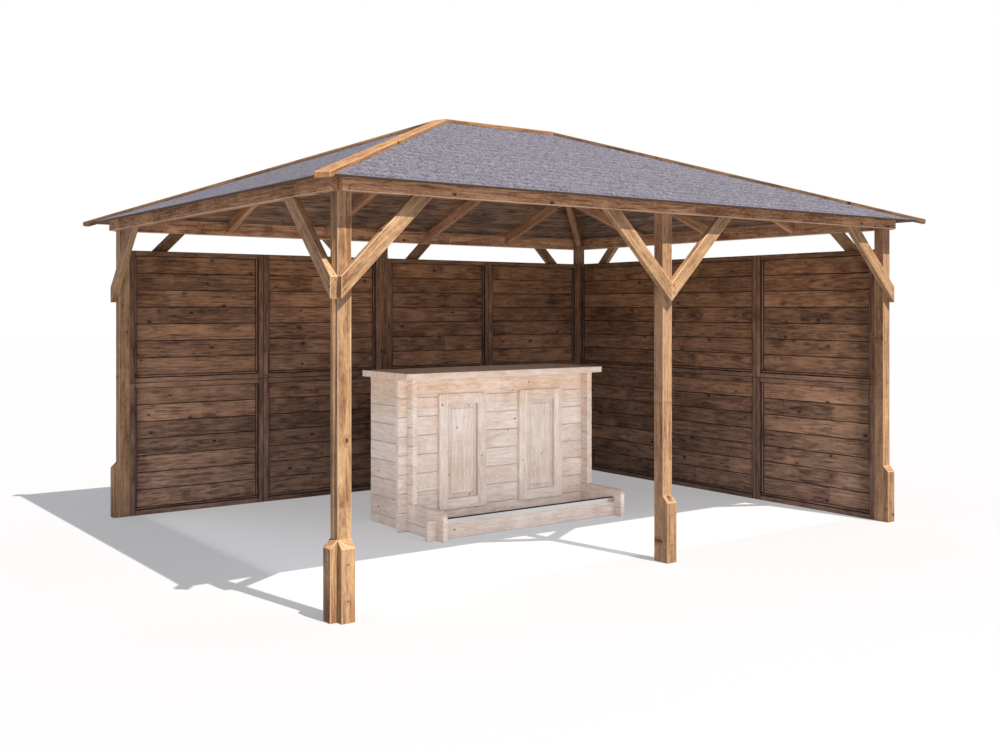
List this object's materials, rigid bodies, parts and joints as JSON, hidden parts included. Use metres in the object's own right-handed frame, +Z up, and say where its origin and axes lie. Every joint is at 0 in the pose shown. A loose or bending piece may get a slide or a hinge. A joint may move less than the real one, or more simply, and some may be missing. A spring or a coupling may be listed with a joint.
{
  "type": "gazebo with bar",
  "caption": "Hip-roofed timber garden gazebo with panelled back and right walls, corner braces and a free-standing log-built bar with a foot rest.",
  "frame": {"origin": "centre of the footprint on the ground, at the bottom centre of the bounding box", "axes": "+X to the right along the length, -Y to the open front, +Z up"},
  "size_m": [5.4436, 4.3296, 3.2082],
  "materials": {
    "stained_posts": "planed softwood with a honey-brown stain",
    "cap_timber": "planed softwood with a warm stain",
    "roof_timber": "planed softwood with a brown stain",
    "wall_timber": "tongued boards with a dark brown stain",
    "roofing_felt": "mineral felt, matt and gritty",
    "bar_pine": "pale whitewashed pine",
    "varnished_pine": "pale pine under clear satin varnish",
    "grip_rubber": "black ribbed rubber",
    "strip_steel": "brushed",
    "coated_screws": "brown corrosion coating"
  },
  "bodies": {
    "root": {"post_front_left": "stained_posts", "post_front_mid": "stained_posts", "post_front_right": "stained_posts", "post_back_left": "stained_posts", "post_back_mid": "stained_posts", "post_back_right": "stained_posts", "foot_blocks_front": "stained_posts", "foot_blocks_back": "stained_posts", "foot_blocks_left": "stained_posts", "foot_blocks_right": "stained_posts", "beam_front": "roof_timber", "beam_back": "roof_timber", "beam_left": "roof_timber", "beam_right": "roof_timber", "braces_front": "stained_posts", "braces_back": "stained_posts", "braces_left": "stained_posts", "braces_right": "stained_posts", "ridge_board": "roof_timber", "hip_rafter_front_left": "roof_timber", "hip_rafter_front_right": "roof_timber", "hip_rafter_back_left": "roof_timber", "hip_rafter_back_right": "roof_timber", "rafters_front": "roof_timber", "rafters_back": "roof_timber", "rafters_left": "roof_timber", "rafters_right": "roof_timber", "roof_boards_front": "roof_timber", "roof_boards_back": "roof_timber", "roof_boards_left": "roof_timber", "roof_boards_right": "roof_timber", "felt_front": "roofing_felt", "felt_back": "roofing_felt", "felt_left": "roofing_felt", "felt_right": "roofing_felt", "hip_cap_front_left": "cap_timber", "hip_cap_front_right": "cap_timber", "hip_cap_back_left": "cap_timber", "hip_cap_back_right": "cap_timber", "ridge_cap": "cap_timber", "wall_back_frames": "wall_timber", "wall_back_boards": "wall_timber", "wall_back_beads": "wall_timber", "wall_right_frames": "wall_timber", "wall_right_boards": "wall_timber", "wall_right_beads": "wall_timber", "bar_front_logs": "bar_pine", "bar_left_logs": "bar_pine", "bar_right_logs": "bar_pine", "bar_top": "varnished_pine", "bar_panel_frames": "bar_pine", "bar_panel_fields": "bar_pine", "bar_shelf": "bar_pine", "bar_shelf_battens": "bar_pine", "foot_rest_log": "bar_pine", "foot_rest_strip": "strip_steel", "foot_rest_grip": "grip_rubber", "brace_screws": "coated_screws", "foot_block_screws": "coated_screws", "beam_screws": "coated_screws"}
  },
  "joints": []
}
